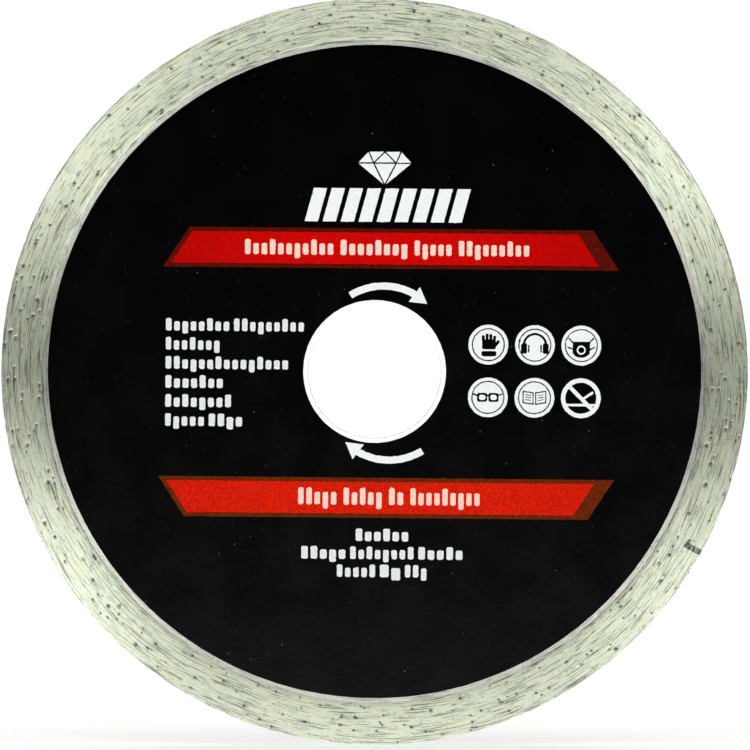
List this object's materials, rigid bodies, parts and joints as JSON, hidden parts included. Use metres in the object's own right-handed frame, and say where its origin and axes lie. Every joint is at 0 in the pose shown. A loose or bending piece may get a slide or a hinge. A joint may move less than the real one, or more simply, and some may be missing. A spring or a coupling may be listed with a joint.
{
  "type": "diamond blade",
  "caption": "Flat round cutting blade: a steel core with an arbor bore, keyed into a continuous sintered rim that holds diamond crystals, lacquered black and printed on its front.",
  "frame": {"origin": "middle of the arbor bore, halfway through the blade", "axes": "+Y along the bore axis, away from the printed face; +Z towards the top of the print; +X to the right as the print is read"},
  "size_m": [0.125, 0.0018, 0.125],
  "materials": {
    "core_steel": "ground and bright",
    "rim_bond": "sintered metal, ground round and round, slightly greenish grey",
    "crystal": "glassy, dark, ground flush",
    "lacquer_black": "satin black lacquer film",
    "ink_white": "screen printed, slightly cool white",
    "ink_red": "screen printed, slightly mottled",
    "ink_brown": "thin red ink straight on black"
  },
  "bodies": {
    "root": {"steel_core": "core_steel", "diamond_rim": "rim_bond", "front_side_crystals": "crystal", "back_side_crystals": "crystal", "cutting_edge_crystals": "crystal", "front_lacquer": "lacquer_black", "back_lacquer": "lacquer_black", "upper_banner_border": "ink_brown", "upper_banner_base": "ink_white", "upper_banner_fill": "ink_red", "lower_banner_border": "ink_brown", "lower_banner_base": "ink_white", "lower_banner_fill": "ink_red", "headline_gem": "ink_white", "headline_bar": "ink_white", "use_list_lines": "ink_white", "note_lines": "ink_white", "top_arrow": "ink_white", "bottom_arrow": "ink_white", "glove_roundel": "ink_white", "ear_roundel": "ink_white", "mask_roundel": "ink_white", "goggles_roundel": "ink_white", "manual_roundel": "ink_white", "barred_roundel": "ink_white"}
  },
  "joints": []
}
